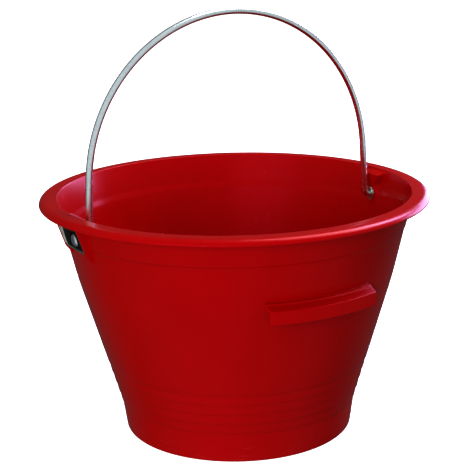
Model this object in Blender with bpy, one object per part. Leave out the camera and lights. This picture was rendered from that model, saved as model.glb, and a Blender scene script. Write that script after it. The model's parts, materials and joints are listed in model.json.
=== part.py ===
"""Flared builder's bucket with a galvanised wire bail.

Metres, +Z up. The origin is the centre of the foot ring, on the ground. The bail's
hinge axis runs along X, and the finger grip for tipping faces -Y.
"""

from math import acos
from math import asin
from math import atan2
from math import cos
from math import hypot
from math import pi
from math import radians
from math import sin
from math import sqrt

import bmesh
import bpy
from mathutils import Vector

# Gap kept between separate pieces that touch on the real bucket.
GAP = 0.0003

# Overall sizes of the moulding.
HEIGHT = 0.2124
RIM_RADIUS = 0.170
FOOT_RADIUS = 0.1015
WALL = 0.0025

# Foot ring and floor.
FOOT_WIDTH = 0.0045
FOOT_ROUND = 0.0015
FLOOR_CLEARANCE = 0.003
FLOOR_THICKNESS = 0.003
FLOOR_FILLET = 0.006
BAND_TAPER = 0.14

# Stepped rings above the plain band at the foot.
RING_START = 0.027
RING_COUNT = 5
RING_PITCH = 0.0095
RING_STEP = 0.0008
RING_SHELF = 0.0004
RING_TAPER = 0.215

# The wall bows outward a little at the knee, and steps out into a collar under the rim.
KNEE_BELOW_COLLAR = 0.0445
KNEE_BULGE = 0.0017
COLLAR_BELOW_RIM = 0.0279
COLLAR_STEP = 0.0008
COLLAR_TAPER = 0.25

# Rim: a flat flange with a rounded shoulder and a short skirt.
RIM_WIDTH = 0.0137
FLANGE_THICKNESS = 0.0026
SHOULDER_WIDTH = 0.0066
SKIRT_DEPTH = 0.0054
SKIRT_THICKNESS = 0.0026
SKIRT_ROUND = 0.0006
LIP_ROUND = 0.001

# Finger grip: a sloping shelf with a lip that hangs down.
GRIP_HALF_LENGTH = 0.050
GRIP_BELOW_RIM = 0.0603
GRIP_SHOULDER = 0.0026
GRIP_REACH = 0.0122
GRIP_SLOPE_DROP = 0.0037
GRIP_LIP_DEPTH = 0.0115
GRIP_THICKNESS = 0.0024
GRIP_ROUND = 0.0008

# Bail: bare wire, a crown arc on straight legs that spread a little, with upset heads.
WIRE_RADIUS = 0.003
WIRE_CLEARANCE = 0.0005
PIVOT_BELOW_RIM = 0.0224
CROWN_ABOVE_PIVOT = 0.0412
CROWN_INSET = 0.0021
BEND_RADIUS = 0.005
HEAD_RADIUS = 0.006
HEAD_HEIGHT = 0.003
HEAD_EDGE = 0.0008
HEAD_DOME_ANGLE = 75

# Flat washers between the bail's bends and the pads inside the wall.
WASHER_RADIUS = 0.0065
WASHER_THICKNESS = 0.0015

# Pads inside the wall: a round seat for the washer, and a V that leaves the seat's
# sides at an angle above the hinge axis and widens to the rim. Angle in degrees.
PAD_SEAT_MARGIN = 0.0008
PAD_V_ANGLE = 60
PAD_PROUD = 0.0004
PAD_TOP_HALF_WIDTH = 0.015
PAD_TOP_BELOW_RIM = 0.004
PAD_END_BELOW_RIM = 0.001

# Ear plates: pressed trays under the rim, outside the wall. Each has a round dimple
# for the wire head, and the wall has a pocket for the dimple.
EAR_HALF_WIDTH = 0.020
EAR_SHEET = 0.0012
EAR_BELOW_PIVOT = 0.0093
EAR_BOTTOM_DEPTH = 0.0021
EAR_TOP_DEPTH = 0.0050
EAR_CORNER = 0.005
DIMPLE_MARGIN = 0.0003

# Gusset ribs on both sides of each ear plate.
RIB_THICKNESS = 0.002
RIB_BELOW_EAR = 0.007
RIB_SETBACK = 0.0004

# Fineness of the round shapes.
BODY_SEGMENTS = 80
ROUND_STEPS = 4
SHOULDER_STEPS = 6
CROWN_STEPS = 24
BEND_STEPS = 6
WIRE_SIDES = 16
WASHER_SEGMENTS = 32
ROD_SEGMENTS = 24
SEAT_STEPS = 15

# Heights that several features share.
COLLAR_BOTTOM = HEIGHT - COLLAR_BELOW_RIM
COLLAR_TOP = COLLAR_BOTTOM + COLLAR_STEP
FLANGE_UNDERSIDE = HEIGHT - FLANGE_THICKNESS
FLOOR_TOP = FLOOR_CLEARANCE + FLOOR_THICKNESS
PIVOT_HEIGHT = HEIGHT - PIVOT_BELOW_RIM
EAR_BOTTOM = PIVOT_HEIGHT - EAR_BELOW_PIVOT
EAR_TOP = FLANGE_UNDERSIDE - GAP
HOLE_RADIUS = WIRE_RADIUS + WIRE_CLEARANCE
DIMPLE_RADIUS = HEAD_RADIUS + DIMPLE_MARGIN
POCKET_RADIUS = DIMPLE_RADIUS + EAR_SHEET + GAP
PAD_SEAT_RADIUS = max(POCKET_RADIUS, WASHER_RADIUS) + PAD_SEAT_MARGIN


# ---------------------------------------------------------------- wall outline

def ring_points():
    """Radius and height of the stepped rings' corners, from the foot up."""
    radius = FOOT_RADIUS + BAND_TAPER * RING_START
    points = []
    for ring in range(RING_COUNT):
        height = RING_START + ring * RING_PITCH
        points.append((radius, height))
        radius += RING_STEP
        points.append((radius, height + RING_SHELF))
        radius += RING_TAPER * (RING_PITCH - RING_SHELF)
    return points


def collar_radius(height):
    """Outer radius of the collar's straight cone, also below the collar."""
    return RIM_RADIUS - RIM_WIDTH - (FLANGE_UNDERSIDE - height) * COLLAR_TAPER


def upper_points():
    """Radius and height of the wall's corners from the knee to the flange."""
    below_step = (collar_radius(COLLAR_TOP) - COLLAR_STEP, COLLAR_BOTTOM)
    ring_top = ring_points()[-1]
    knee_height = COLLAR_BOTTOM - KNEE_BELOW_COLLAR
    knee_radius = radius_between(ring_top, below_step, knee_height) + KNEE_BULGE
    above_step = (collar_radius(COLLAR_TOP), COLLAR_TOP)
    under_flange = (collar_radius(FLANGE_UNDERSIDE), FLANGE_UNDERSIDE)
    return [(knee_radius, knee_height), below_step, above_step, under_flange]


def radius_between(low, high, height):
    """Radius at a height on the straight line between two outline points."""
    share = (height - low[1]) / (high[1] - low[1])
    return low[0] + (high[0] - low[0]) * share


def outer_radius(height):
    """Radius of the wall's outer face at a height."""
    points = [(FOOT_RADIUS, 0.0)] + ring_points() + upper_points()
    for low, high in zip(points, points[1:]):
        if height <= high[1]:
            return radius_between(low, high, height)
    return collar_radius(height)


def wall_middle(height, sideways=0.0):
    """Distance from the axis plane to the middle of the wall, at a sideways offset."""
    return sqrt((outer_radius(height) - WALL / 2) ** 2 - sideways ** 2)


def arc(centre, radii, start, end, steps):
    """Points on an elliptical arc, angles in degrees."""
    points = []
    for step in range(steps + 1):
        angle = radians(start + (end - start) * step / steps)
        points.append((centre[0] + radii[0] * cos(angle), centre[1] + radii[1] * sin(angle)))
    return points


def foot_outline():
    """From the middle of the floor's underside out to the foot's outer edge."""
    inner = FOOT_RADIUS - FOOT_WIDTH
    centre = (FOOT_RADIUS - FOOT_ROUND, FOOT_ROUND)
    outline = [(0.0, FLOOR_CLEARANCE), (inner, FLOOR_CLEARANCE), (inner, 0.0)]
    outline += arc(centre, (FOOT_ROUND, FOOT_ROUND), -90, 0, ROUND_STEPS)
    return outline


def rim_outline():
    """From the flange's underside round the skirt and shoulder to the inner lip."""
    skirt_inner = RIM_RADIUS - SKIRT_THICKNESS
    skirt_bottom = HEIGHT - SKIRT_DEPTH
    corner = (RIM_RADIUS - SKIRT_ROUND, skirt_bottom + SKIRT_ROUND)
    shoulder = (RIM_RADIUS - SHOULDER_WIDTH, skirt_bottom + SKIRT_ROUND)
    shoulder_radii = (SHOULDER_WIDTH, SKIRT_DEPTH - SKIRT_ROUND)
    lip = (collar_radius(HEIGHT) - WALL + LIP_ROUND, HEIGHT - LIP_ROUND)
    outline = [(skirt_inner, FLANGE_UNDERSIDE), (skirt_inner, skirt_bottom)]
    outline += arc(corner, (SKIRT_ROUND, SKIRT_ROUND), -90, -45, 1)
    outline += arc(shoulder, shoulder_radii, 0, 90, SHOULDER_STEPS)
    outline += arc(lip, (LIP_ROUND, LIP_ROUND), 90, 180, ROUND_STEPS)
    return outline


def inner_outline():
    """Down the inside of the wall and across the floor to its middle."""
    ring_bottom = ring_points()[0]
    ring_top = ring_points()[-1]
    walls = [ring_bottom, ring_top] + upper_points()[:-1]
    outline = [(radius - WALL, height) for radius, height in reversed(walls)]
    corner_radius = outer_radius(FLOOR_TOP) - WALL
    centre = (corner_radius - FLOOR_FILLET, FLOOR_TOP + FLOOR_FILLET)
    outline += arc(centre, (FLOOR_FILLET, FLOOR_FILLET), 0, -90, ROUND_STEPS)
    outline.append((0.0, FLOOR_TOP))
    return outline


# ---------------------------------------------------------------- mesh helpers

def add_material(name, colour, roughness, metallic):
    material = bpy.data.materials.new(name)
    material.use_nodes = True
    shader = material.node_tree.nodes["Principled BSDF"]
    shader.inputs["Base Color"].default_value = (*colour, 1.0)
    shader.inputs["Roughness"].default_value = roughness
    shader.inputs["Metallic"].default_value = metallic
    return material


def add_object(name, mesh_in_progress, smooth_angle=30):
    """Turn a bmesh into an object with outward faces and smooth round sides."""
    bmesh.ops.recalc_face_normals(mesh_in_progress, faces=mesh_in_progress.faces)
    mesh = bpy.data.meshes.new(name)
    mesh_in_progress.to_mesh(mesh)
    mesh_in_progress.free()
    mesh.shade_smooth()
    mesh.set_sharp_from_angle(angle=radians(smooth_angle))
    piece = bpy.data.objects.new(name, mesh)
    bpy.context.scene.collection.objects.link(piece)
    return piece


def spin_outline(outline, segments, closed):
    """A bmesh turned from an outline of radius and height about Z."""
    shape = bmesh.new()
    corners = [shape.verts.new((radius, 0.0, height)) for radius, height in outline]
    edges = [shape.edges.new(pair) for pair in zip(corners, corners[1:])]
    if closed:
        edges.append(shape.edges.new((corners[-1], corners[0])))
    bmesh.ops.spin(
        shape,
        geom=corners + edges,
        cent=(0, 0, 0),
        axis=(0, 0, 1),
        angle=2 * pi,
        steps=segments,
        use_merge=True,
    )
    bmesh.ops.remove_doubles(shape, verts=shape.verts, dist=1e-6)
    return shape


def extruded(outline, offset):
    """A bmesh prism: a flat outline of points, moved along an offset."""
    shape = bmesh.new()
    face = shape.faces.new([shape.verts.new(point) for point in outline])
    result = bmesh.ops.extrude_face_region(shape, geom=[face])
    moved = [item for item in result["geom"] if isinstance(item, bmesh.types.BMVert)]
    bmesh.ops.translate(shape, verts=moved, vec=offset)
    return shape


def side_prism(outline, half_width, side, centre=0.0):
    """A prism whose outline of x and height is seen along Y, on one side of the bucket."""
    points = [(side * x, centre - half_width, z) for x, z in outline]
    return extruded(points, (0, 2 * half_width, 0))


def hide_tool(tool):
    tool.hide_render = True
    tool.display_type = "WIRE"


def combine(target, tool, operation):
    """Join or cut a piece with a hidden tool object."""
    modifier = target.modifiers.new(tool.name, "BOOLEAN")
    modifier.operation = operation
    modifier.solver = "EXACT"
    modifier.object = tool
    hide_tool(tool)


def rod_along_x(name, radius, start, end):
    """A plain round rod on the hinge axis, with flats at its top and bottom."""
    half_step = 180 / ROD_SEGMENTS
    circle = arc((0, 0), (radius, radius), half_step, 360 - half_step, ROD_SEGMENTS - 1)
    outline = [(start, y, PIVOT_HEIGHT + z) for y, z in circle]
    return add_object(name, extruded(outline, (end - start, 0, 0)))


# ---------------------------------------------------------------- pivot layout

def pad_face():
    """Distance from the centre to the pads' flat faces, along X."""
    return outer_radius(PIVOT_HEIGHT - PAD_SEAT_RADIUS) - WALL - PAD_PROUD


def washer_inner_face():
    return pad_face() - GAP - WASHER_THICKNESS


def leg_distance():
    """Distance from the centre to the feet of the bail's legs."""
    return washer_inner_face() - GAP - BEND_RADIUS


def ear_back(height):
    """Distance to the back of an ear plate, clear of the collar and the wall under it."""
    wall_bulge = outer_radius(EAR_BOTTOM) - collar_radius(EAR_BOTTOM)
    return collar_radius(height) + max(0.0, wall_bulge) + GAP


def dimple_back():
    """Distance to the back of an ear plate's dimple, a gap inside the dimple's low edge."""
    return ear_back(PIVOT_HEIGHT - DIMPLE_RADIUS - EAR_SHEET) - GAP


def dimple_face():
    """Distance to the flat face that a wire head bears on."""
    return dimple_back() + EAR_SHEET


def leg_spread(crown_radius):
    """Angle between the bail's legs and the vertical."""
    across = leg_distance() + BEND_RADIUS
    up = CROWN_ABOVE_PIVOT - BEND_RADIUS
    return acos((crown_radius + BEND_RADIUS) / hypot(across, up)) - atan2(up, across)


def ear_front(height):
    """Distance to the front edge of an ear plate's flanges."""
    bottom = (ear_back(EAR_BOTTOM) + EAR_BOTTOM_DEPTH, EAR_BOTTOM)
    top = (ear_back(EAR_TOP) + EAR_TOP_DEPTH, EAR_TOP)
    return radius_between(bottom, top, height)


# ---------------------------------------------------------------- bucket body

def grip_outline():
    """Section of the finger grip: radius and height, from the wall round to the wall."""
    shoulder_top = HEIGHT - GRIP_BELOW_RIM
    lip_top = shoulder_top - GRIP_SLOPE_DROP
    lip_bottom = lip_top - GRIP_LIP_DEPTH
    lip_outer = outer_radius(lip_top) + GRIP_REACH
    lip_inner = lip_outer - GRIP_THICKNESS
    shoulder = outer_radius(shoulder_top) + GRIP_SHOULDER
    under_shelf = lip_top - GRIP_THICKNESS
    under_shoulder = shoulder_top - GRIP_THICKNESS - GRIP_ROUND
    return [
        (wall_middle(shoulder_top + GRIP_ROUND), shoulder_top + GRIP_ROUND),
        (shoulder - GRIP_ROUND, shoulder_top),
        (shoulder, shoulder_top - GRIP_ROUND),
        (lip_outer - GRIP_ROUND, lip_top),
        (lip_outer, lip_top - GRIP_ROUND),
        (lip_outer, lip_bottom + GRIP_ROUND),
        (lip_outer - GRIP_ROUND, lip_bottom),
        (lip_inner + GRIP_ROUND, lip_bottom),
        (lip_inner, lip_bottom + GRIP_ROUND),
        (lip_inner, under_shelf),
        (wall_middle(under_shoulder), under_shoulder),
    ]


def add_grip():
    """The finger grip, a part of a turned ring with its ends cut square to the grip."""
    outline = grip_outline()
    reach = max(radius for radius, height in outline)
    spread = asin(GRIP_HALF_LENGTH / min(radius for radius, height in outline))
    half_angle = spread + atan2(GRIP_THICKNESS, reach)
    shape = bmesh.new()
    corners = [
        shape.verts.new((-radius * sin(half_angle), -radius * cos(half_angle), height))
        for radius, height in outline
    ]
    section = shape.faces.new(corners)
    odd_steps = 2 * round(BODY_SEGMENTS * half_angle / (2 * pi)) + 1
    bmesh.ops.spin(
        shape,
        geom=[section],
        cent=(0, 0, 0),
        axis=(0, 0, 1),
        angle=2 * half_angle,
        steps=odd_steps,
    )
    bmesh.ops.remove_doubles(shape, verts=shape.verts, dist=1e-6)
    for end in (-1, 1):
        cut = bmesh.ops.bisect_plane(
            shape,
            geom=shape.verts[:] + shape.edges[:] + shape.faces[:],
            plane_co=(end * GRIP_HALF_LENGTH, 0, 0),
            plane_no=(end, 0, 0),
            clear_outer=True,
        )
        rim = [item for item in cut["geom_cut"] if isinstance(item, bmesh.types.BMEdge)]
        bmesh.ops.contextual_create(shape, geom=rim)
    return add_object("grip_tool", shape)


def add_ribs(side):
    """Two gusset ribs that flank an ear plate, from the wall to the flange."""
    middle = EAR_HALF_WIDTH + GAP + RIB_THICKNESS / 2
    bottom = EAR_BOTTOM - RIB_BELOW_EAR
    buried = HEIGHT - FLANGE_THICKNESS / 2
    inner_heights = (buried, COLLAR_TOP, COLLAR_BOTTOM, bottom)
    outline = [(wall_middle(height, middle), height) for height in inner_heights]
    outline.append((ear_front(EAR_BOTTOM) - RIB_SETBACK, EAR_BOTTOM))
    outline.append((ear_front(FLANGE_UNDERSIDE) - RIB_SETBACK, FLANGE_UNDERSIDE))
    outline.append((ear_front(FLANGE_UNDERSIDE) - RIB_SETBACK, buried))
    ribs = []
    for across in (-1, 1):
        shape = side_prism(outline, RIB_THICKNESS / 2, side, across * middle)
        ribs.append(add_object("rib_tool", shape))
    return ribs


def add_pad(side):
    """The pad inside the wall: a vertical wedge trimmed to a round seat and a V."""
    top = HEIGHT - PAD_TOP_BELOW_RIM
    end = HEIGHT - PAD_END_BELOW_RIM
    bottom = PIVOT_HEIGHT - 2 * PAD_SEAT_RADIUS
    wedge_outline = [
        (pad_face(), bottom),
        (wall_middle(bottom), bottom),
        (wall_middle(COLLAR_BOTTOM), COLLAR_BOTTOM),
        (wall_middle(COLLAR_TOP), COLLAR_TOP),
        (wall_middle(end), end),
        (pad_face(), top),
    ]
    wedge = add_object("pad_tool", side_prism(wedge_outline, 2 * PAD_TOP_HALF_WIDTH, side))
    radii = (PAD_SEAT_RADIUS, PAD_SEAT_RADIUS)
    seat = arc((0, PIVOT_HEIGHT), radii, 180 - PAD_V_ANGLE, 360 + PAD_V_ANGLE, SEAT_STEPS)
    face_outline = seat + [(PAD_TOP_HALF_WIDTH, HEIGHT), (-PAD_TOP_HALF_WIDTH, HEIGHT)]
    points = [(side * (pad_face() - WALL), y, z) for y, z in face_outline]
    trim = add_object("pad_trim", extruded(points, (side * RIM_WIDTH, 0, 0)))
    combine(wedge, trim, "INTERSECT")
    return wedge


def add_body(material):
    outline = foot_outline() + ring_points() + upper_points() + rim_outline() + inner_outline()
    body = add_object("bucket_body", spin_outline(outline, BODY_SEGMENTS, closed=False))
    body.data.materials.append(material)
    combine(body, add_grip(), "UNION")
    for side in (-1, 1):
        combine(body, add_pad(side), "UNION")
        for rib in add_ribs(side):
            combine(body, rib, "UNION")
    for side in (-1, 1):
        hole = rod_along_x("hole_tool", HOLE_RADIUS, side * leg_distance(), side * RIM_RADIUS)
        combine(body, hole, "DIFFERENCE")
        pocket_floor = dimple_back() - GAP
        pocket = rod_along_x("pocket_tool", POCKET_RADIUS, side * pocket_floor, side * RIM_RADIUS)
        combine(body, pocket, "DIFFERENCE")
    return body


# ---------------------------------------------------------------- metal pieces

def wire_half():
    """Stations of the bail from the crown to the right head: x, height, dx, dz, radius."""
    distance = leg_distance()
    crown_radius = distance - CROWN_INSET
    crown_centre = PIVOT_HEIGHT + CROWN_ABOVE_PIVOT
    spread = leg_spread(crown_radius)
    stations = []
    for step in range(CROWN_STEPS + 1):
        angle = pi / 2 + (spread - pi / 2) * step / CROWN_STEPS
        x = crown_radius * cos(angle)
        z = crown_centre + crown_radius * sin(angle)
        stations.append((x, z, sin(angle), -cos(angle), WIRE_RADIUS))
    for step in range(BEND_STEPS + 1):
        angle = pi + spread + (pi / 2 - spread) * step / BEND_STEPS
        x = distance + BEND_RADIUS * (1 + cos(angle))
        z = PIVOT_HEIGHT + BEND_RADIUS * (1 + sin(angle))
        stations.append((x, z, -sin(angle), cos(angle), WIRE_RADIUS))
    head_start = dimple_face() + GAP
    stations.append((head_start, PIVOT_HEIGHT, 1, 0, WIRE_RADIUS))
    stations.append((head_start, PIVOT_HEIGHT, 1, 0, HEAD_RADIUS))
    for step in range(ROUND_STEPS + 1):
        angle = radians(HEAD_DOME_ANGLE * step / ROUND_STEPS)
        x = head_start + HEAD_EDGE + (HEAD_HEIGHT - HEAD_EDGE) * sin(angle)
        stations.append((x, PIVOT_HEIGHT, 1, 0, HEAD_RADIUS * cos(angle)))
    return stations


def add_bail(material):
    """The wire bail, swept from the left head over the crown to the right head."""
    right = wire_half()
    left = [(-x, z, dx, -dz, radius) for x, z, dx, dz, radius in reversed(right)]
    shape = bmesh.new()
    across = Vector((0, 1, 0))
    rings = []
    for x, z, dx, dz, radius in left + right[1:]:
        outward = Vector((dx, 0, dz)).cross(across)
        ring = []
        for corner in range(WIRE_SIDES):
            angle = 2 * pi * corner / WIRE_SIDES
            offset = outward * cos(angle) + across * sin(angle)
            ring.append(shape.verts.new(Vector((x, 0, z)) + offset * radius))
        rings.append(ring)
    for first, second in zip(rings, rings[1:]):
        for corner in range(WIRE_SIDES):
            after = (corner + 1) % WIRE_SIDES
            shape.faces.new((first[corner], first[after], second[after], second[corner]))
    shape.faces.new(rings[0])
    shape.faces.new(rings[-1])
    bmesh.ops.translate(shape, verts=shape.verts, vec=(0, 0, -PIVOT_HEIGHT))
    bail = add_object("bail_handle", shape)
    bail.location.z = PIVOT_HEIGHT
    bail.data.materials.append(material)
    return bail


def add_washer(name, side, material):
    outline = [
        (HOLE_RADIUS, 0.0),
        (WASHER_RADIUS, 0.0),
        (WASHER_RADIUS, WASHER_THICKNESS),
        (HOLE_RADIUS, WASHER_THICKNESS),
    ]
    washer = add_object(name, spin_outline(outline, WASHER_SEGMENTS, closed=True))
    washer.rotation_euler = (0, side * pi / 2, 0)
    washer.location = (side * washer_inner_face(), 0, PIVOT_HEIGHT)
    washer.data.materials.append(material)
    return washer


def rounded_tray(outline, half_width, corner, side):
    """A side prism with the two lower corners of its front rounded."""
    shape = side_prism(outline, half_width, side)
    bottom = min(z for x, z in outline)
    edges = []
    for edge in shape.edges:
        low = all(abs(vert.co.z - bottom) < GAP / 10 for vert in edge.verts)
        along_x = abs(edge.verts[0].co.y - edge.verts[1].co.y) < GAP / 10
        if low and along_x:
            edges.append(edge)
    bmesh.ops.bevel(
        shape,
        geom=edges,
        offset=corner,
        offset_type="OFFSET",
        segments=ROUND_STEPS,
        profile=0.5,
        affect="EDGES",
    )
    return shape


def space_outline(bottom, top, limit, depth):
    """Section of the space from a depth in an ear plate's back to a limit distance."""
    return [
        (ear_back(bottom) + depth, bottom),
        (limit, bottom),
        (limit, top),
        (ear_back(top) + depth, top),
    ]


def add_ear(name, side, material):
    """A pressed ear plate: back, bottom and side flanges, and a dimple for the wire head."""
    outline = [
        (ear_back(EAR_BOTTOM), EAR_BOTTOM),
        (ear_front(EAR_BOTTOM), EAR_BOTTOM),
        (ear_front(EAR_TOP), EAR_TOP),
        (ear_back(EAR_TOP), EAR_TOP),
    ]
    ear = add_object(name, rounded_tray(outline, EAR_HALF_WIDTH, EAR_CORNER, side))
    inside = space_outline(EAR_BOTTOM + EAR_SHEET, EAR_TOP - EAR_SHEET, RIM_RADIUS, EAR_SHEET)
    hollow = rounded_tray(inside, EAR_HALF_WIDTH - EAR_SHEET, EAR_CORNER - EAR_SHEET, side)
    combine(ear, add_object("ear_hollow", hollow), "DIFFERENCE")
    dimple_shell = DIMPLE_RADIUS + EAR_SHEET
    dimple = rod_along_x("dimple_tool", dimple_shell, side * dimple_back(), side * RIM_RADIUS)
    behind = space_outline(EAR_BOTTOM, EAR_TOP, leg_distance(), EAR_SHEET / 2)
    space = side_prism(behind, EAR_HALF_WIDTH, side)
    combine(dimple, add_object("dimple_space", space), "INTERSECT")
    combine(ear, dimple, "UNION")
    for radius, start in ((DIMPLE_RADIUS, dimple_face()), (HOLE_RADIUS, leg_distance())):
        cutter = rod_along_x("ear_cutter", radius, side * start, side * RIM_RADIUS)
        combine(ear, cutter, "DIFFERENCE")
    ear.data.materials.append(material)
    return ear


def main():
    for item in list(bpy.data.objects):
        bpy.data.objects.remove(item, do_unlink=True)
    plastic = add_material("red_plastic", (0.36, 0.004, 0.003), 0.32, 0.0)
    wire = add_material("galvanised_wire", (0.62, 0.64, 0.65), 0.28, 1.0)
    zinc = add_material("zinc_plate", (0.56, 0.58, 0.52), 0.4, 1.0)
    add_body(plastic)
    add_bail(wire)
    for side, word in ((-1, "left"), (1, "right")):
        add_washer("pivot_washer_" + word, side, zinc)
        add_ear("ear_plate_" + word, side, zinc)


main()
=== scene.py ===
"""Looks of the flared bucket with a wire bail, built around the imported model.

Metres, +Z up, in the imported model's frame: the origin is the centre of the foot ring,
the bail's hinge axis runs along X, and the finger grip faces -Y.
"""

import json
from cmath import phase
from cmath import rect
from math import ceil
from math import cos
from math import hypot
from math import pi
from math import radians
from math import sin
from math import sqrt
from math import tan

import bmesh
import bpy
import numpy as np
from mathutils import Matrix
from mathutils import Vector


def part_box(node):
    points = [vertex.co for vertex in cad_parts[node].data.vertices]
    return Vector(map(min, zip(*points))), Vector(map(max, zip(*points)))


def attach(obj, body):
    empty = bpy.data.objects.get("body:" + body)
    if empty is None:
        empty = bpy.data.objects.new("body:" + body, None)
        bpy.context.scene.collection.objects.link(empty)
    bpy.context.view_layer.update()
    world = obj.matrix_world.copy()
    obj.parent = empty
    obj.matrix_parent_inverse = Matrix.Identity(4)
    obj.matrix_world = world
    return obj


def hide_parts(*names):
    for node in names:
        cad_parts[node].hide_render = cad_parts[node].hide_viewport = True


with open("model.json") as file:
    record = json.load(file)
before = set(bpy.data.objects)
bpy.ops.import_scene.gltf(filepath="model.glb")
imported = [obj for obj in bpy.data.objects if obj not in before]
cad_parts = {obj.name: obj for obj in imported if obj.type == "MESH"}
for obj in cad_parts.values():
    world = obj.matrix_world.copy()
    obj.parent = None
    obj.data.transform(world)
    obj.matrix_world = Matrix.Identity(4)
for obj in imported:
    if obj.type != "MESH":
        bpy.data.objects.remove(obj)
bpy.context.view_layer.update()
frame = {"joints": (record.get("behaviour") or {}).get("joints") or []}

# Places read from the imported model.
BODY_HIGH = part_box("bucket_body")[1]
WASHER_LOW, WASHER_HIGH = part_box("pivot_washer_right")
EAR_LOW, EAR_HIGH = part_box("ear_plate_right")
BAIL_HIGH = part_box("bail_handle")[1]
PIVOT_HEIGHT = frame["joints"][0]["pos_m"][2]
RIM_RADIUS = BODY_HIGH.x
HEIGHT = BODY_HIGH.z

# Sizes of the moulding, the same as the CAD's.
GAP = 0.0003
FOOT_RADIUS = 0.1015
FOOT_WIDTH = 0.0045
FOOT_ROUND = 0.0015
WALL = 0.0025
FLOOR_CLEARANCE = 0.003
FLOOR_TOP = 0.006
FLOOR_FILLET = 0.006
BAND_TAPER = 0.14
RING_START = 0.027
RING_COUNT = 5
RING_PITCH = 0.0095
RING_STEP = 0.0008
RING_SHELF = 0.0004
RING_TAPER = 0.215
KNEE_HEIGHT = 0.140
KNEE_BULGE = 0.0017
COLLAR_BOTTOM = 0.1845
COLLAR_STEP = 0.0008
COLLAR_TOP = COLLAR_BOTTOM + COLLAR_STEP
COLLAR_TAPER = 0.25
RIM_WIDTH = 0.0137
FLANGE_UNDERSIDE = HEIGHT - 0.0026
SHOULDER_WIDTH = 0.0066
SKIRT_DEPTH = 0.0054
SKIRT_THICKNESS = 0.0026
SKIRT_ROUND = 0.0006
LIP_ROUND = 0.001

# Fine shape that the CAD leaves plain.
RING_ROUND = 0.0003
KNEE_ROUND = 0.30
STEP_ROUND = 0.0006
FLANGE_ROUND = 0.0012
INSIDE_ROUND = 0.002
STEP_SPREAD = 0.0022
GATE_RADIUS = 0.006
GATE_RECESS = 0.0008
GATE_NUB = 0.0016
SEAM_HALF_WIDTH = 0.059
SEAM_BOTTOM = 0.122
SEAM_TOP = 0.1835
SEAM_RADIUS = 0.0005
SEAM_PROUD = 0.00012

# Finger grip. The bead along its shelf is fine shape that the CAD leaves plain.
GRIP_HALF_LENGTH = 0.050
GRIP_TOP = HEIGHT - 0.0603
GRIP_SHOULDER = 0.0026
GRIP_REACH = 0.0122
GRIP_SLOPE_DROP = 0.0037
GRIP_LIP_DEPTH = 0.0115
GRIP_THICKNESS = 0.0024
GRIP_ROUND = 0.0010
GRIP_FILLET = 0.0016
GRIP_BEAD = 0.0008
GRIP_END_ROUND = 0.0004

# Pads inside the wall and pockets outside it, at the pivots.
PAD_FACE = WASHER_HIGH.x + GAP
PAD_SEAT_RADIUS = 0.0086
PAD_ARC_TOP = radians(60)
PAD_TOP_HALF_WIDTH = 0.015
PAD_SLOPE_START = HEIGHT - 0.004
PAD_SLOPE_END = HEIGHT - 0.001
PAD_SOFTNESS = 0.0012
PIVOT_SECTOR = radians(11)

# Bail.
WIRE_RADIUS = 0.003
HOLE_RADIUS = 0.0035
BEND_RADIUS = 0.005
CROWN_INSET = 0.0021
HEAD_RADIUS = BAIL_HIGH.y
HEAD_HEIGHT = 0.003
LEG_DISTANCE = WASHER_LOW.x - GAP - BEND_RADIUS
CROWN_RADIUS = LEG_DISTANCE - CROWN_INSET
CROWN_HEIGHT = BAIL_HIGH.z - WIRE_RADIUS - CROWN_RADIUS

# Ear plates.
EAR_HALF_WIDTH = EAR_HIGH.y
EAR_BOTTOM = EAR_LOW.z
EAR_TOP = EAR_HIGH.z
EAR_SHEET = 0.0012
EAR_BOTTOM_DEPTH = 0.0021
EAR_TOP_DEPTH = 0.0050
EAR_CORNER = 0.005
EAR_TOP_CORNER = 0.0022
EAR_BEND = 0.0012
DIMPLE_RADIUS = 0.0063
RIB_THICKNESS = 0.002
RIB_BELOW_EAR = 0.007
RIB_SETBACK = 0.0004
RIB_ROUND = 0.0005

# Fineness.
FILLET_TURN = radians(18)
COARSE_SPACING = 0.006
FINE_SPACING = 0.0009
COARSE_TURN = radians(1.5)
FINE_TURN = radians(0.36)
WIRE_SIDES = 28
SMOOTH_ANGLE = radians(32)


# ---------------------------------------------------------------- outlines

def fillet(before, corner, after, radius):
    """Points on the arc that rounds a corner. Points are complex: across + up * 1j."""
    to_before = (before - corner) / abs(before - corner)
    to_after = (after - corner) / abs(after - corner)
    turn = pi - abs(phase(to_after / to_before))
    if radius == 0 or turn < radians(0.2):
        return [corner]
    room = 0.49 * min(abs(before - corner), abs(after - corner))
    reach = min(radius * tan(turn / 2), room)
    bisector = (to_before + to_after) / abs(to_before + to_after)
    centre = corner + bisector * reach / tan(turn / 2) / cos(turn / 2)
    start = corner + to_before * reach - centre
    swing = phase((corner + to_after * reach - centre) / start)
    steps = max(2, ceil(turn / FILLET_TURN))
    return [centre + start * rect(1, swing * step / steps) for step in range(steps + 1)]


def rounded(corners, closed=False):
    """A fine outline through corners of (across, up, fillet radius)."""
    places = [complex(across, up) for across, up, radius in corners]
    radii = [radius for across, up, radius in corners]
    count = len(places)
    outline = []
    for index in range(count):
        if not closed and index in (0, count - 1):
            outline.append(places[index])
            continue
        after = places[(index + 1) % count]
        outline += fillet(places[index - 1], places[index], after, radii[index])
    return outline


def subdivided(outline, spacing):
    """The outline with its long stretches cut up; spacing gives a length for a height."""
    points = [outline[0]]
    for start, end in zip(outline, outline[1:]):
        limit = spacing((start.imag + end.imag) / 2)
        steps = max(1, ceil(abs(end - start) / limit))
        points += [start + (end - start) * step / steps for step in range(1, steps + 1)]
    return points


def ellipse_quarter(centre, width, height, steps):
    """Points from the side of an ellipse up to its top."""
    turns = [pi / 2 * step / steps for step in range(steps + 1)]
    return [(centre[0] + width * cos(turn), centre[1] + height * sin(turn), 0) for turn in turns]


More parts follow.
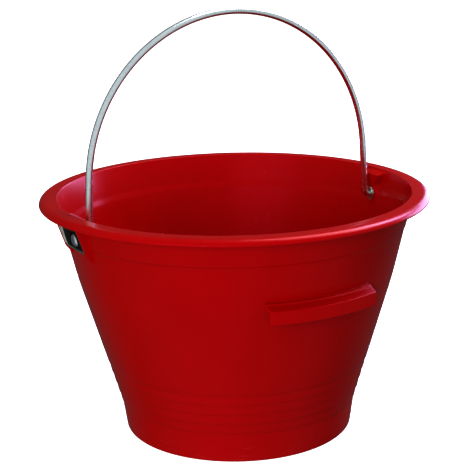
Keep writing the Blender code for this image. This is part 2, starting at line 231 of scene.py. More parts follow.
def collar_radius(height):
    return RIM_RADIUS - RIM_WIDTH - (FLANGE_UNDERSIDE - height) * COLLAR_TAPER


def ring_corners():
    """Corners of the stepped rings, from the foot up."""
    radius = FOOT_RADIUS + BAND_TAPER * RING_START
    corners = []
    for ring in range(RING_COUNT):
        height = RING_START + ring * RING_PITCH
        corners.append((radius, height, RING_ROUND))
        radius += RING_STEP
        corners.append((radius, height + RING_SHELF, RING_ROUND))
        radius += RING_TAPER * (RING_PITCH - RING_SHELF)
    return corners


def wall_corners():
    """Corners of the wall's outer face, from the rings to the flange's underside."""
    ring_top = ring_corners()[-1]
    below_step = (collar_radius(COLLAR_TOP) - COLLAR_STEP, COLLAR_BOTTOM)
    share = (KNEE_HEIGHT - ring_top[1]) / (below_step[1] - ring_top[1])
    knee_radius = ring_top[0] + (below_step[0] - ring_top[0]) * share + KNEE_BULGE
    return [
        (knee_radius, KNEE_HEIGHT, KNEE_ROUND),
        (*below_step, STEP_ROUND),
        (collar_radius(COLLAR_TOP), COLLAR_TOP, STEP_ROUND),
        (collar_radius(FLANGE_UNDERSIDE), FLANGE_UNDERSIDE, FLANGE_ROUND),
    ]


def wall_radius(height):
    """Radius of the wall's outer face at a height."""
    corners = [(FOOT_RADIUS, 0.0, 0)] + ring_corners() + wall_corners()
    heights = [corner[1] for corner in corners]
    return float(np.interp(height, heights, [corner[0] for corner in corners]))


def outer_outline():
    """From the middle of the underside out, up the wall and over the rim to the lip."""
    corners = [
        (GATE_NUB / 4, FLOOR_CLEARANCE - GATE_RECESS / 2, 0),
        (GATE_NUB, FLOOR_CLEARANCE - GATE_RECESS / 2, GATE_NUB / 4),
        (GATE_NUB, FLOOR_CLEARANCE + GATE_RECESS, GATE_NUB / 8),
        (GATE_RADIUS, FLOOR_CLEARANCE + GATE_RECESS, GATE_NUB / 4),
        (GATE_RADIUS + GATE_RECESS, FLOOR_CLEARANCE, GATE_NUB / 4),
        (FOOT_RADIUS - FOOT_WIDTH, FLOOR_CLEARANCE, FOOT_ROUND / 2),
        (FOOT_RADIUS - FOOT_WIDTH, 0.0, FOOT_ROUND / 4),
        (FOOT_RADIUS, 0.0, FOOT_ROUND),
    ]
    corners += ring_corners() + wall_corners()
    skirt_inner = RIM_RADIUS - SKIRT_THICKNESS
    skirt_bottom = HEIGHT - SKIRT_DEPTH
    corners.append((skirt_inner, FLANGE_UNDERSIDE, SKIRT_ROUND))
    corners.append((skirt_inner, skirt_bottom, SKIRT_ROUND))
    corners.append((RIM_RADIUS - SKIRT_ROUND / 4, skirt_bottom, SKIRT_ROUND))
    shoulder = (RIM_RADIUS - SHOULDER_WIDTH, skirt_bottom + SKIRT_ROUND)
    corners += ellipse_quarter(shoulder, SHOULDER_WIDTH, SKIRT_DEPTH - SKIRT_ROUND, 12)
    corners.append((collar_radius(HEIGHT) - WALL + LIP_ROUND, HEIGHT, 0))
    return rounded(corners)


def inner_outline():
    """From the lip down the inside of the wall and across the floor to its middle."""
    lip = collar_radius(HEIGHT) - WALL
    corners = [
        (lip + LIP_ROUND, HEIGHT, 0),
        (lip, HEIGHT, LIP_ROUND),
    ]
    for height in (COLLAR_TOP + STEP_SPREAD, COLLAR_BOTTOM - STEP_SPREAD):
        corners.append((wall_radius(height) - WALL, height, INSIDE_ROUND * 10))
    knee_radius, knee_height, knee_round = wall_corners()[0]
    corners.append((knee_radius - WALL, knee_height, knee_round))
    for corner in (ring_corners()[-1], ring_corners()[0]):
        corners.append((corner[0] - WALL, corner[1], INSIDE_ROUND * 10))
    corners.append((wall_radius(FLOOR_TOP) - WALL, FLOOR_TOP, FLOOR_FILLET))
    corners.append((GATE_NUB, FLOOR_TOP, 0))
    return rounded(corners)[1:]


# ---------------------------------------------------------------- mesh helpers

def finished(name, mesh_in_progress, material, body):
    """A piece made from a bmesh, with smooth shading, riding on a CAD body."""
    bmesh.ops.recalc_face_normals(mesh_in_progress, faces=mesh_in_progress.faces)
    mesh = bpy.data.meshes.new(name)
    mesh_in_progress.to_mesh(mesh)
    mesh_in_progress.free()
    mesh.shade_smooth()
    mesh.set_sharp_from_angle(angle=SMOOTH_ANGLE)
    mesh.materials.append(material)
    piece = bpy.data.objects.new(name, mesh)
    bpy.context.scene.collection.objects.link(piece)
    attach(piece, body)
    return piece


def loft(rings, loop=False):
    """A bmesh skin over closed rings of points, joined end to end or capped."""
    shape = bmesh.new()
    rows = [[shape.verts.new(point) for point in ring] for ring in rings]
    pairs = list(zip(rows, rows[1:]))
    if loop:
        pairs.append((rows[-1], rows[0]))
    else:
        shape.faces.new(rows[0])
        shape.faces.new(rows[-1])
    for first, second in pairs:
        for index in range(len(first)):
            before = index - 1
            shape.faces.new((first[before], first[index], second[index], second[before]))
    return shape


def mirrored(points, side):
    """Points for the left or right pivot, from points made for the right one."""
    return [(side * x, y, z) for x, y, z in points]


# ---------------------------------------------------------------- bucket body

def turn_angles():
    """Angles round the body: fine at the two pivots, coarse elsewhere."""
    angles = []
    turn = -PIVOT_SECTOR
    while turn < 2 * pi - PIVOT_SECTOR - FINE_TURN / 2:
        angles.append(turn)
        from_pivot = abs((turn + pi / 2) % pi - pi / 2)
        turn += FINE_TURN if from_pivot < PIVOT_SECTOR - FINE_TURN / 2 else COARSE_TURN
    return np.array(angles)


def soft_step(value):
    value = np.clip(value, 0, 1)
    return value * value * (3 - 2 * value)


def pad_cover(y, z):
    """How far each point lies in the pad's outline, seen along X: 1 inside, 0 outside."""
    up = z - PIVOT_HEIGHT
    seat = np.hypot(y, up) - PAD_SEAT_RADIUS
    start_width = PAD_SEAT_RADIUS * cos(PAD_ARC_TOP)
    start_height = PAD_SEAT_RADIUS * sin(PAD_ARC_TOP)
    rise = HEIGHT - PIVOT_HEIGHT - start_height
    slope = (PAD_TOP_HALF_WIDTH - start_width) / rise
    gusset = (np.abs(y) - start_width - (up - start_height) * slope) / hypot(1, slope)
    gusset = np.where(up > 0, gusset, PAD_TOP_HALF_WIDTH)
    return soft_step(0.5 - np.minimum(seat, gusset) / PAD_SOFTNESS / 2)


def press_pads(points):
    """Brings the wall's inner face in to the flat pads."""
    reach = np.abs(points[..., 0])
    height = points[..., 2]
    share = np.clip((height - PAD_SLOPE_START) / (PAD_SLOPE_END - PAD_SLOPE_START), 0, 1)
    top_reach = collar_radius(PAD_SLOPE_END) - WALL
    limit = PAD_FACE + (top_reach - PAD_FACE) * share
    cover = pad_cover(points[..., 1], height) * (height < PAD_SLOPE_END)
    pressed = reach - cover * np.maximum(reach - limit, 0)
    points[..., 0] = np.sign(points[..., 0]) * pressed


def press_pockets(points):
    """Recesses the wall's outer face where the ear plates' dimples sit."""
    reach = np.abs(points[..., 0])
    from_pivot = np.hypot(points[..., 1], points[..., 2] - PIVOT_HEIGHT)
    inside = from_pivot < DIMPLE_RADIUS + EAR_SHEET + FINE_SPACING
    limit = dimple_back() - GAP
    pressed = np.sign(points[..., 0]) * np.minimum(reach, limit)
    points[..., 0] = np.where(inside, pressed, points[..., 0])


def body_spacing(height):
    if height > PIVOT_HEIGHT - 2 * PAD_SEAT_RADIUS:
        return FINE_SPACING
    return COARSE_SPACING


def turned(outline, angles):
    """Points of an outline turned about Z, one ring for each outline point."""
    radius = np.array([point.real for point in outline])[:, None]
    height = np.array([point.imag for point in outline])[:, None]
    points = np.zeros((len(outline), len(angles), 3))
    points[..., 0] = radius * np.cos(angles)
    points[..., 1] = radius * np.sin(angles)
    points[..., 2] = height
    return points


def bucket_shell(material):
    angles = turn_angles()
    outside = turned(subdivided(outer_outline(), body_spacing), angles)
    inside = turned(subdivided(inner_outline(), body_spacing), angles)
    press_pockets(outside)
    press_pads(inside)
    rings = np.concatenate((outside, inside))
    shell = finished("bucket_shell", loft(rings), material, "bucket")
    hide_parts("bucket_body")
    return shell


def grip_section():
    """Section of the finger grip, rounded and beaded, with flared roots in the wall."""
    lip_top = GRIP_TOP - GRIP_SLOPE_DROP
    lip_bottom = lip_top - GRIP_LIP_DEPTH
    lip_outer = wall_radius(lip_top) + GRIP_REACH
    lip_inner = lip_outer - GRIP_THICKNESS
    shelf = lip_top - GRIP_THICKNESS
    root = GRIP_TOP - GRIP_THICKNESS - GRIP_ROUND
    above = GRIP_TOP + GRIP_ROUND + 2 * GRIP_FILLET
    below = root - 2 * GRIP_FILLET
    corners = [
        (wall_radius(above) - WALL / 2, above, 0),
        (wall_radius(above), above, 0),
        (wall_radius(GRIP_TOP), GRIP_TOP, GRIP_FILLET),
        (wall_radius(GRIP_TOP) + GRIP_SHOULDER - GRIP_BEAD, GRIP_TOP + GRIP_BEAD, GRIP_BEAD),
        (wall_radius(GRIP_TOP) + GRIP_SHOULDER + GRIP_BEAD, GRIP_TOP + GRIP_BEAD / 2, GRIP_BEAD),
        (wall_radius(GRIP_TOP) + GRIP_SHOULDER + 2 * GRIP_BEAD, GRIP_TOP - GRIP_BEAD, GRIP_BEAD),
        (lip_outer, lip_top, GRIP_ROUND),
        (lip_outer, lip_bottom, GRIP_ROUND),
        (lip_inner, lip_bottom, GRIP_ROUND),
        (lip_inner, shelf, GRIP_ROUND),
        (wall_radius(root), root, GRIP_FILLET),
        (wall_radius(below), below, 0),
        (wall_radius(below) - WALL / 2, below, 0),
    ]
    return subdivided(rounded(corners), lambda height: GRIP_THICKNESS)


def inset(section, amount):
    """A closed section with its edge moved inwards."""
    moved = []
    for index, point in enumerate(section):
        along = section[(index + 1) % len(section)] - section[index - 1]
        moved.append(point + along / abs(along) * -1j * amount)
    return moved


def end_rounding(length, radius, steps=4):
    """Stations of (place along a length, inset) for a bar with rounded ends."""
    turns = [pi / 2 * step / steps for step in range(steps + 1)]
    end = [(length - radius * (1 - cos(turn)), radius * (1 - sin(turn))) for turn in turns]
    start = [(-place, depth) for place, depth in end]
    return start, end[::-1]


def finger_grip(material):
    section = grip_section()
    start, end = end_rounding(GRIP_HALF_LENGTH, GRIP_END_ROUND)
    first = start[-1][0]
    steps = 48
    middle = [(first + (end[0][0] - first) * step / steps, 0.0) for step in range(1, steps)]
    rings = []
    for across, depth in start + middle + end:
        ring = []
        for point in inset(section, depth):
            ring.append((across, -sqrt(point.real ** 2 - across ** 2), point.imag))
        rings.append(ring)
    return finished("finger_grip", loft(rings), material, "bucket")


def mould_seam(material):
    """The raised line that the mould's slide leaves round the grip's panel."""
    corners = [
        (-SEAM_HALF_WIDTH, SEAM_BOTTOM, SEAM_RADIUS * 6),
        (SEAM_HALF_WIDTH, SEAM_BOTTOM, SEAM_RADIUS * 6),
        (SEAM_HALF_WIDTH, SEAM_TOP, SEAM_RADIUS * 6),
        (-SEAM_HALF_WIDTH, SEAM_TOP, SEAM_RADIUS * 6),
    ]
    path = rounded(corners, closed=True)
    path = subdivided(path + path[:1], lambda height: COARSE_SPACING / 3)[:-1]
    rings = []
    for index, point in enumerate(path):
        along = path[(index + 1) % len(path)] - path[index - 1]
        sideways = along / abs(along) * 1j
        ring = []
        for side in range(8):
            turn = 2 * pi * side / 8
            place = point + sideways * SEAM_RADIUS * cos(turn)
            radius = wall_radius(place.imag) + SEAM_PROUD - SEAM_RADIUS + SEAM_RADIUS * sin(turn)
            ring.append((place.real, -sqrt(radius ** 2 - place.real ** 2), place.imag))
        rings.append(ring)
    return finished("mould_seam", loft(rings, loop=True), material, "bucket")


# ---------------------------------------------------------------- ears and ribs

def ear_back(height):
    return collar_radius(height) + GAP


def ear_plate_front(height):
    return ear_back(height) + EAR_SHEET


def ear_edge(height):
    """Distance to the front edge of an ear plate's flanges."""
    bottom = ear_back(EAR_BOTTOM) + EAR_BOTTOM_DEPTH
    top = ear_back(EAR_TOP) + EAR_TOP_DEPTH
    share = (height - EAR_BOTTOM) / (EAR_TOP - EAR_BOTTOM)
    return bottom + (top - bottom) * share


def dimple_back():
    return ear_back(PIVOT_HEIGHT - DIMPLE_RADIUS - EAR_SHEET) - GAP


def dimple_face():
    return dimple_back() + EAR_SHEET


def ear_outline(depth):
    """The ear plate's outline, inset by a depth, as points of y and height."""
    side = EAR_HALF_WIDTH - depth
    low = EAR_BOTTOM + depth
    high = EAR_TOP - depth
    low_corner = EAR_CORNER - depth
    high_corner = max(EAR_TOP_CORNER - depth, EAR_SHEET / 2)
    outline = []
    quarters = (
        (side - low_corner, low + low_corner, low_corner, -90),
        (side - high_corner, high - high_corner, high_corner, 0),
        (high_corner - side, high - high_corner, high_corner, 90),
        (low_corner - side, low + low_corner, low_corner, 180),
    )
    for y, z, radius, start in quarters:
        for step in range(9):
            outline.append(complex(y, z) + rect(radius, radians(start + 90 * step / 8)))
    fine = []
    for index, point in enumerate(outline):
        after = outline[(index + 1) % len(outline)]
        fine += [point, (point * 2 + after) / 3, (point + after * 2) / 3]
    return fine


def ear_rings():
    """Rings over an ear plate: out over its front, round the flange and back behind it."""
    pivot = complex(0, PIVOT_HEIGHT)
    base = ear_outline(EAR_SHEET + EAR_BEND)
    spokes = [(point - pivot) / abs(point - pivot) for point in base]

    def circle(radius, distance):
        places = [pivot + spoke * radius for spoke in spokes]
        return [(distance(place.imag), place.real, place.imag) for place in places]

    def between(radius, outline, share, distance):
        places = [
            (pivot + spoke * radius) * (1 - share) + point * share
            for spoke, point in zip(spokes, outline)
        ]
        return [(distance(place.imag), place.real, place.imag) for place in places]

    def blended(low, high, share):
        return lambda height: low(height) * (1 - share) + high(height) * share

    def flat_front(height):
        return dimple_face()

    def flat_back(height):
        return dimple_back()

    rings = [circle(HOLE_RADIUS, flat_front), circle(DIMPLE_RADIUS * 0.86, flat_front)]
    for step in range(7):
        share = step / 6
        radius = DIMPLE_RADIUS * (0.97 + 0.15 * share)
        surface = blended(flat_front, ear_plate_front, float(soft_step(share)))
        rings.append(circle(radius, surface))
    front_radius = DIMPLE_RADIUS * 1.12
    for share in (0.3, 0.65, 1.0):
        rings.append(between(front_radius, base, share, ear_plate_front))
    for step in range(1, 5):
        turn = pi / 2 * step / 4
        outline = ear_outline(EAR_SHEET + EAR_BEND * (1 - sin(turn)))
        rise = EAR_BEND * (1 - cos(turn))
        rings.append(between(0, outline, 1, lambda height, rise=rise: ear_plate_front(height) + rise))
    half = EAR_SHEET / 2
    for step in range(7):
        turn = pi * step / 6
        outline = ear_outline(half + half * cos(turn))
        drop = half * (1 - sin(turn))
        rings.append(between(0, outline, 1, lambda height, drop=drop: ear_edge(height) - drop))
    back_bend = EAR_BEND + EAR_SHEET
    for step in range(5):
        turn = pi / 2 * step / 4
        outline = ear_outline(back_bend * 0.8 * (1 - cos(turn)))
        rise = back_bend * 0.8 * (1 - sin(turn))
        rings.append(between(0, outline, 1, lambda height, rise=rise: ear_back(height) + rise))
    back_radius = DIMPLE_RADIUS + EAR_SHEET
    back_outline = ear_outline(back_bend * 0.8)
    for share in (0.6, 0.25):
        rings.append(between(back_radius * 1.05, back_outline, share, ear_back))
    for step in range(1, 6):
        share = step / 5
        radius = back_radius * (1.05 - 0.09 * share)
        surface = blended(ear_back, flat_back, float(soft_step(share)))
        rings.append(circle(radius, surface))
    rings.append(circle(HOLE_RADIUS, flat_back))
    return rings


def ear_plate(name, side, material):
    rings = [mirrored(ring, side) for ring in ear_rings()]
    plate = finished(name, loft(rings, loop=True), material, "bucket")
    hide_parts(name.replace("pressed", "plate"))
    return plate


def rib_section():
    """Outline of a gusset rib as distance from the axis plane and height."""
    middle = EAR_HALF_WIDTH + GAP + RIB_THICKNESS / 2
    bottom = EAR_BOTTOM - RIB_BELOW_EAR
    buried = FLANGE_UNDERSIDE + WALL / 2

    def root(height):
        return sqrt((wall_radius(height) - WALL / 2) ** 2 - middle ** 2)

    def front(height):
        return ear_edge(height) - RIB_SETBACK

    corners = [
        (root(buried), buried, 0),
        (root(bottom), bottom, 0),
        (root(bottom) + WALL * 0.6, bottom, 0),
        (front(EAR_BOTTOM), EAR_BOTTOM, 0.006),
        (front(FLANGE_UNDERSIDE), FLANGE_UNDERSIDE, 0.002),
        (front(FLANGE_UNDERSIDE) + WALL / 2, buried, 0),
    ]
    return rounded(corners)


def ear_rib(name, side, across, material):
    section = rib_section()
    middle = across * (EAR_HALF_WIDTH + GAP + RIB_THICKNESS / 2)
    start, end = end_rounding(RIB_THICKNESS / 2, RIB_ROUND, steps=3)
    rings = []
    for place, depth in start + end:
        ring = [(point.real, middle + place, point.imag) for point in inset(section, depth)]
        rings.append(mirrored(ring, side))
    return finished(name, loft(rings), material, "bucket")


# ---------------------------------------------------------------- wire and washers

def wire_half():
    """Stations from the crown to the right head: x, height, direction, radius."""
    across = LEG_DISTANCE + BEND_RADIUS
    up = CROWN_HEIGHT - PIVOT_HEIGHT - BEND_RADIUS
    lean = -phase(complex(across, -up))
    reach = CROWN_RADIUS + BEND_RADIUS
    spread = phase(complex(reach, sqrt(across ** 2 + up ** 2 - reach ** 2))) - lean
    stations = []
    steps = 90
    for step in range(steps + 1):
        turn = pi / 2 + (spread - pi / 2) * step / steps
        x = CROWN_RADIUS * cos(turn)
        z = CROWN_HEIGHT + CROWN_RADIUS * sin(turn)
        stations.append((x, z, sin(turn), -cos(turn), WIRE_RADIUS))
    steps = 14
    for step in range(steps + 1):
        turn = pi + spread + (pi / 2 - spread) * step / steps
        x = LEG_DISTANCE + BEND_RADIUS * (1 + cos(turn))
        z = PIVOT_HEIGHT + BEND_RADIUS * (1 + sin(turn))
        stations.append((x, z, -sin(turn), cos(turn), WIRE_RADIUS))
    head = dimple_face() + GAP
    edge = 0.0005
    profile = [(head - edge, WIRE_RADIUS), (head, WIRE_RADIUS + edge / 2)]
    for step in range(7):
        turn = -pi / 2 + pi * 0.8 * step / 6
        profile.append((head + edge * (1 + sin(turn)), HEAD_RADIUS - edge * (1 - cos(turn))))
    rise = HEAD_HEIGHT - edge * 2
    for step in range(1, 11):
        turn = pi / 2 * step / 10
        x = head + edge * 2 + rise * sin(turn)
        profile.append((x, (HEAD_RADIUS - edge * 1.4) * cos(turn) ** 0.9 + edge / 5))
    stations += [(x, PIVOT_HEIGHT, 1, 0, radius) for x, radius in profile]
    return stations


def bail_wire(material):
    right = wire_half()
    left = [(-x, z, dx, -dz, radius) for x, z, dx, dz, radius in reversed(right)]
    sideways = Vector((0, 1, 0))
    rings = []
    for x, z, dx, dz, radius in left + right[1:]:
        outward = Vector((dx, 0, dz)).cross(sideways)
        ring = []
        for corner in range(WIRE_SIDES):
            turn = 2 * pi * corner / WIRE_SIDES
            offset = outward * cos(turn) + sideways * sin(turn)
            ring.append(Vector((x, 0, z)) + offset * radius)
        rings.append(ring)
    bail = finished("bail_wire", loft(rings), material, "bail")
    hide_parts("bail_handle")
    return bail


def washer(name, side, material):
    """A punched washer: one face has rolled edges, the other sharp ones."""
    radius = WASHER_HIGH.y
    near = WASHER_LOW.x
    far = WASHER_HIGH.x
    corners = [
        (far, HOLE_RADIUS, 0.0001),
        (far, radius, 0.0001),
        (near, radius, 0.0004),
        (near, HOLE_RADIUS, 0.0003),
    ]
    rings = []
    for point in rounded(corners, closed=True):
        ring = []
        for corner in range(64):
            turn = 2 * pi * corner / 64
            y = point.imag * cos(turn)
            z = PIVOT_HEIGHT + point.imag * sin(turn)
            ring.append((point.real, y, z))
        rings.append(mirrored(ring, side))
    piece = finished(name, loft(rings, loop=True), material, "bucket")
    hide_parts(name.replace("disc", "washer"))
    return piece


# ---------------------------------------------------------------- materials

RED = (0.30, 0.0, 0.0, 1)
RED_LIGHT = (0.335, 0.0004, 0.0002, 1)
RED_DARK = (0.27, 0.0, 0.0, 1)
RED_SCUFFED = (0.50, 0.05, 0.045, 1)
RED_SHEEN = (1.0, 0.07, 0.14, 1.0)
SCUFF_HEIGHT = 0.022
WIRE_DARK = (0.76, 0.82, 0.83, 1)
WIRE_BRIGHT = (0.84, 0.92, 0.93, 1)
WIRE_DULL = (0.56, 0.58, 0.56, 1)
ZINC_BRIGHT = (0.64, 0.67, 0.59, 1)
ZINC_DULL = (0.52, 0.56, 0.47, 1)
# Painted shade for the ear plates: a near-black colour mixed in deep in their trays, where the shadow
# under the rim falls, between a full and a no-shade depth.
PAINTED_SHADE = (0.012, 0.012, 0.012, 1)
PAINTED_SHADE_FULL = 0.0001
PAINTED_SHADE_NONE = 0.0004


def add_node(tree, kind, values=None, **settings):
    """A node with its settings, and values or links for its inputs."""
    node = tree.nodes.new(kind)
    for name, setting in settings.items():
        setattr(node, name, setting)
    for socket, value in (values or {}).items():
        if isinstance(value, bpy.types.NodeSocket):
            tree.links.new(value, node.inputs[socket])
        else:
            node.inputs[socket].default_value = value
    return node


def new_material(name, **sockets):
    """A material with a Principled shader, its fixed values set on their own sockets."""
    material = bpy.data.materials.new(name)
    material.use_nodes = True
    shader = material.node_tree.nodes["Principled BSDF"]
    for socket, value in sockets.items():
        shader.inputs[socket.replace("_", " ")].default_value = value
    return material, material.node_tree, shader


def object_place(tree):
    return add_node(tree, "ShaderNodeTexCoord").outputs["Object"]


def stretched(tree, place, scale):
    mapping = add_node(tree, "ShaderNodeMapping", {"Vector": place, "Scale": scale})
    return mapping.outputs["Vector"]


def noise(tree, place, scale, detail=3.0, roughness=0.55):
    values = {"Vector": place, "Scale": scale, "Detail": detail, "Roughness": roughness}
    return add_node(tree, "ShaderNodeTexNoise", values).outputs["Fac"]


def ranged(tree, value, low, high, to_low, to_high):
    values = {"Value": value, "From Min": low, "From Max": high, "To Min": to_low, "To Max": to_high}
    return add_node(tree, "ShaderNodeMapRange", values).outputs["Result"]


def combined(tree, operation, first, second):
    node = add_node(tree, "ShaderNodeMath", {0: first, 1: second}, operation=operation)
    return node.outputs["Value"]


def mixed(tree, share, first, second):
    values = {"Factor": share, "A": first, "B": second}
    node = add_node(tree, "ShaderNodeMix", data_type="RGBA")
    for socket in node.inputs:
        if socket.enabled and socket.name in values:
            value = values[socket.name]
            if isinstance(value, bpy.types.NodeSocket):
                tree.links.new(value, socket)
            else:
                socket.default_value = value
    return [socket for socket in node.outputs if socket.enabled][0]


def bumped(tree, heights, strength, distance, under=None):
    values = {"Height": heights, "Strength": strength, "Distance": distance}
    if under is not None:
        values["Normal"] = under
    return add_node(tree, "ShaderNodeBump", values).outputs["Normal"]


def red_plastic():
    """Glossy moulded polyethylene: faint mottling, flow marks and scuffs at the foot."""
    material, tree, shader = new_material(
        "red_plastic", IOR=1.5, Specular_IOR_Level=0.5, Specular_Tint=RED_SHEEN)
    place = object_place(tree)
    broad = ranged(tree, noise(tree, place, 9.0), 0.3, 0.7, 0.0, 1.0)
    fine = ranged(tree, noise(tree, place, 160.0, detail=5.0), 0.45, 0.75, 0.0, 0.25)
    colour = mixed(tree, broad, RED, RED_LIGHT)
    colour = mixed(tree, fine, colour, RED_DARK)
    parts = add_node(tree, "ShaderNodeSeparateXYZ", {0: place})
    low_down = ranged(tree, parts.outputs["Z"], 0.0, SCUFF_HEIGHT, 1.0, 0.0)
    scuffs = noise(tree, stretched(tree, place, (60.0, 60.0, 900.0)), 1.0, detail=6.0, roughness=0.7)
    scuffed = combined(tree, "MULTIPLY", low_down, ranged(tree, scuffs, 0.56, 0.68, 0.0, 0.25))
    colour = mixed(tree, scuffed, colour, RED_SCUFFED)
    tree.links.new(colour, shader.inputs["Base Color"])
    gloss = ranged(tree, noise(tree, place, 24.0, detail=6.0), 0.3, 0.7, 0.22, 0.28)
    gloss = combined(tree, "ADD", gloss, combined(tree, "MULTIPLY", scuffed, 0.6))
    tree.links.new(gloss, shader.inputs["Roughness"])
    peel = noise(tree, place, 420.0, detail=2.0)
    flow = noise(tree, stretched(tree, place, (14.0, 14.0, 5.0)), 1.0, detail=1.0)
    normal = bumped(tree, flow, 0.25, 0.004)
    normal = bumped(tree, peel, 0.06, 0.0003, under=normal)
    tree.links.new(normal, shader.inputs["Normal"])
    return material


def galvanised_wire():
    """Bright zinc on drawn wire: spangle, fine marks and dull patches."""
    material, tree, shader = new_material("galvanised_wire", Metallic=1.0)
    place = object_place(tree)
    cells = add_node(tree, "ShaderNodeTexVoronoi", {"Vector": place, "Scale": 420.0})
    dull = noise(tree, place, 55.0, detail=5.0)
    spangle = ranged(tree, cells.outputs["Distance"], 0.1, 0.7, 0.0, 1.0)
    colour = mixed(tree, spangle, WIRE_DARK, WIRE_BRIGHT)
    colour = mixed(tree, ranged(tree, dull, 0.5, 0.75, 0.0, 0.6), colour, WIRE_DULL)
    tree.links.new(colour, shader.inputs["Base Color"])
    tree.links.new(ranged(tree, dull, 0.3, 0.75, 0.20, 0.34), shader.inputs["Roughness"])
    marks = noise(tree, place, 600.0, detail=2.0)
    tree.links.new(bumped(tree, marks, 0.02, 0.0002), shader.inputs["Normal"])
    return material


def zinc_plate():
    """Passivated zinc on pressed sheet: a green-grey bloom, and painted shade that turns the plate
    near-black deep in the trays.
    """
    material, tree, shader = new_material("zinc_plate", Metallic=1.0)
    place = object_place(tree)
    bloom = noise(tree, place, 140.0, detail=4.0)
    patches = ranged(tree, bloom, 0.35, 0.7, 0.0, 1.0)
    colour = mixed(tree, patches, ZINC_BRIGHT, ZINC_DULL)
    parts = add_node(tree, "ShaderNodeSeparateXYZ", {0: place})
    absolute = add_node(tree, "ShaderNodeMath", {0: parts.outputs["X"]}, operation="ABSOLUTE")
    reach = absolute.outputs["Value"]
    lean = combined(tree, "MULTIPLY", parts.outputs["Z"], COLLAR_TAPER)
    proud = combined(tree, "SUBTRACT", reach, lean)
    proud = combined(tree, "SUBTRACT", proud, ear_plate_front(0.0))
    outside = ranged(tree, reach, WASHER_HIGH.x, WASHER_HIGH.x + GAP, 0.0, 1.0)
    # Painted shade: the plate turns near-black where it lies deep in its tray, standing in for the
    # shadow there. The washers are left out.
    deep = ranged(tree, proud, PAINTED_SHADE_FULL, PAINTED_SHADE_NONE, 0.96, 0.0)
    painted_shade = combined(tree, "MULTIPLY", outside, deep)
    colour = mixed(tree, painted_shade, colour, PAINTED_SHADE)
    tree.links.new(colour, shader.inputs["Base Color"])
    gloss = ranged(tree, bloom, 0.3, 0.7, 0.28, 0.45)
    gloss = combined(tree, "ADD", gloss, combined(tree, "MULTIPLY", painted_shade, 0.2))
    tree.links.new(gloss, shader.inputs["Roughness"])
    marks = noise(tree, stretched(tree, place, (900.0, 900.0, 140.0)), 1.0, detail=4.0)
    tree.links.new(bumped(tree, marks, 0.1, 0.0002), shader.inputs["Normal"])
    return material


def floor_paint():
    material, tree, shader = new_material("floor_paint", Roughness=0.6, Specular_IOR_Level=0.1)
    tone = noise(tree, object_place(tree), 3.0)
    colour = mixed(tree, tone, (0.88, 0.88, 0.88, 1), (0.9, 0.9, 0.9, 1))
    tree.links.new(colour, shader.inputs["Base Color"])
    shader.inputs["Emission Color"].default_value = (1, 1, 1, 1)
    shader.inputs["Emission Strength"].default_value = FLOOR_GLOW
    return material


# ---------------------------------------------------------------- studio

CAMERA_AZIMUTH = radians(-29.2)
CAMERA_DISTANCE = 1.1422
CAMERA_HEIGHT = 0.4778
CAMERA_PITCH = radians(15.02)
CAMERA_ROLL = radians(-1.2)
CAMERA_LENS = 102.5
FLOOR_HALF_SIZE = 14.0
FLOOR_GLOW = 0.9
ROOM_DARK = 0.07
ROOM_BRIGHT = 0.58


def add_camera():
    data = bpy.data.cameras.new("camera")
    data.lens = CAMERA_LENS
    data.clip_end = 100.0
    camera = bpy.data.objects.new("camera", data)
    turn = Matrix.Rotation(CAMERA_AZIMUTH, 4, "Z")
    tilt = Matrix.Rotation(pi / 2 - CAMERA_PITCH, 4, "X")
    roll = Matrix.Rotation(CAMERA_ROLL, 4, "Z")
    start = Matrix.Translation((0, -CAMERA_DISTANCE, CAMERA_HEIGHT))
    camera.matrix_world = turn @ start @ tilt @ roll
    bpy.context.scene.collection.objects.link(camera)
    bpy.context.scene.camera = camera


def add_floor():
    shape = bmesh.new()
    bmesh.ops.create_grid(shape, x_segments=8, y_segments=8, size=FLOOR_HALF_SIZE)
    mesh = bpy.data.meshes.new("floor")
    shape.to_mesh(mesh)
    shape.free()
    mesh.materials.append(floor_paint())
    floor = bpy.data.objects.new("floor", mesh)
    bpy.context.scene.collection.objects.link(floor)
    floor.visible_glossy = False
    floor.visible_diffuse = False


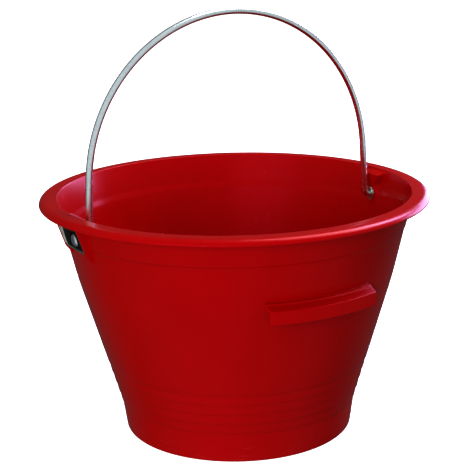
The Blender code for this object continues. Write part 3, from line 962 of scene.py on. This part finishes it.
def add_area_light(name, place, target, size, power, colour=(1, 1, 1)):
    data = bpy.data.lights.new(name, "AREA")
    data.shape = "RECTANGLE"
    data.size, data.size_y = size
    data.energy = power
    data.color = colour
    light = bpy.data.objects.new(name, data)
    light.location = place
    light.rotation_euler = (Vector(target) - Vector(place)).to_track_quat("-Z", "Y").to_euler()
    bpy.context.scene.collection.objects.link(light)
    return light


def add_world():
    """A studio room: bright behind the camera and overhead, dark beyond the bucket."""
    world = bpy.data.worlds.new("studio")
    world.use_nodes = True
    tree = world.node_tree
    direction = add_node(tree, "ShaderNodeTexCoord").outputs["Generated"]
    to_camera = {0: direction, 1: (sin(CAMERA_AZIMUTH), -cos(CAMERA_AZIMUTH), 0.35)}
    facing = add_node(tree, "ShaderNodeVectorMath", to_camera, operation="DOT_PRODUCT")
    background = tree.nodes["Background"]
    background.inputs["Color"].default_value = (0.90, 0.97, 1.0, 1)
    strength = ranged(tree, facing.outputs["Value"], -0.35, 0.6, ROOM_DARK, ROOM_BRIGHT)
    tree.links.new(strength, background.inputs["Strength"])
    bpy.context.scene.world = world


def add_studio():
    add_world()
    middle = (0, 0, 0.15)
    lilac = (0.66, 0.52, 1.0)
    add_area_light("overhead", (0.85, -0.1, 1.7), middle, (1.2, 1.2), 26)
    add_area_light("window", (1.7, 0.5, 0.42), (0, 0, 0.19), (1.5, 0.8), 25, lilac)
    add_area_light("high_window", (1.15, 0.15, 1.15), middle, (0.6, 0.6), 13, lilac)
    key = add_area_light("key", (-1.7, -1.25, 0.6), middle, (1.8, 1.0), 36)
    key.visible_glossy = False
    bpy.context.scene.view_settings.view_transform = "Standard"
    bpy.context.scene.view_settings.look = "Medium High Contrast"


# ---------------------------------------------------------------- the scene

def build():
    plastic = red_plastic()
    wire = galvanised_wire()
    zinc = zinc_plate()
    bucket_shell(plastic)
    finger_grip(plastic)
    mould_seam(plastic)
    bail_wire(wire)
    for side, word in ((-1, "left"), (1, "right")):
        washer("pivot_disc_" + word, side, zinc)
        ear_plate("ear_pressed_" + word, side, zinc)
        for across, end in ((-1, "front"), (1, "back")):
            ear_rib(f"ear_rib_{word}_{end}", side, across, plastic)
    add_floor()
    add_camera()
    add_studio()


build()
